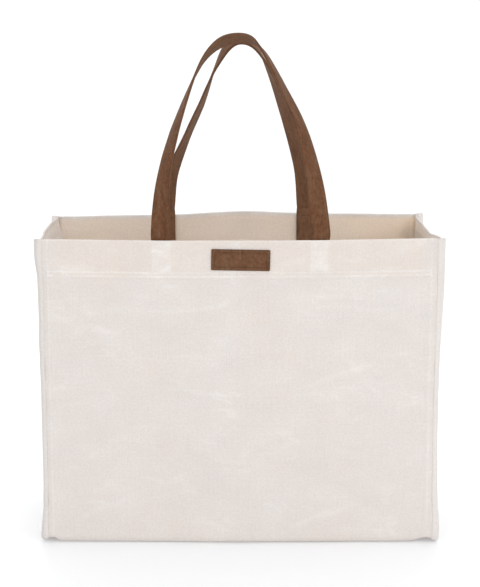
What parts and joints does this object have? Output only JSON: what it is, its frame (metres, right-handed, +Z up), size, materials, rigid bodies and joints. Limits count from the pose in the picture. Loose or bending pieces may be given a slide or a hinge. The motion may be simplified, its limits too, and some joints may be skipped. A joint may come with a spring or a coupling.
{
  "type": "travel tote",
  "caption": "Open-topped waxed canvas tote bag with square sides, taped side seams, a deep hem, leather carrying handles and a bare leather patch.",
  "frame": {"origin": "bottom centre of the bag's box, on the surface it stands on", "axes": "+Z up, -Y towards the front with the patch, +X towards the right side as the front is looked at"},
  "size_m": [0.5292, 0.2421, 0.6663],
  "materials": {
    "canvas": "heavy off-white waxed canvas with scuffs",
    "gusset_canvas": "heavy off-white waxed canvas",
    "seam_tape": "folded canvas tape, stitched along its inner edge",
    "handle_leather": "brown vegetable-tanned leather with worn edges",
    "patch_leather": "matt brown leather with a pressed border"
  },
  "bodies": {
    "root": {"main_panel": "canvas", "left_gusset": "gusset_canvas", "right_gusset": "gusset_canvas", "left_seam_tape": "seam_tape", "right_seam_tape": "seam_tape", "front_handle": "handle_leather", "back_handle": "handle_leather", "front_patch": "patch_leather"}
  },
  "joints": []
}
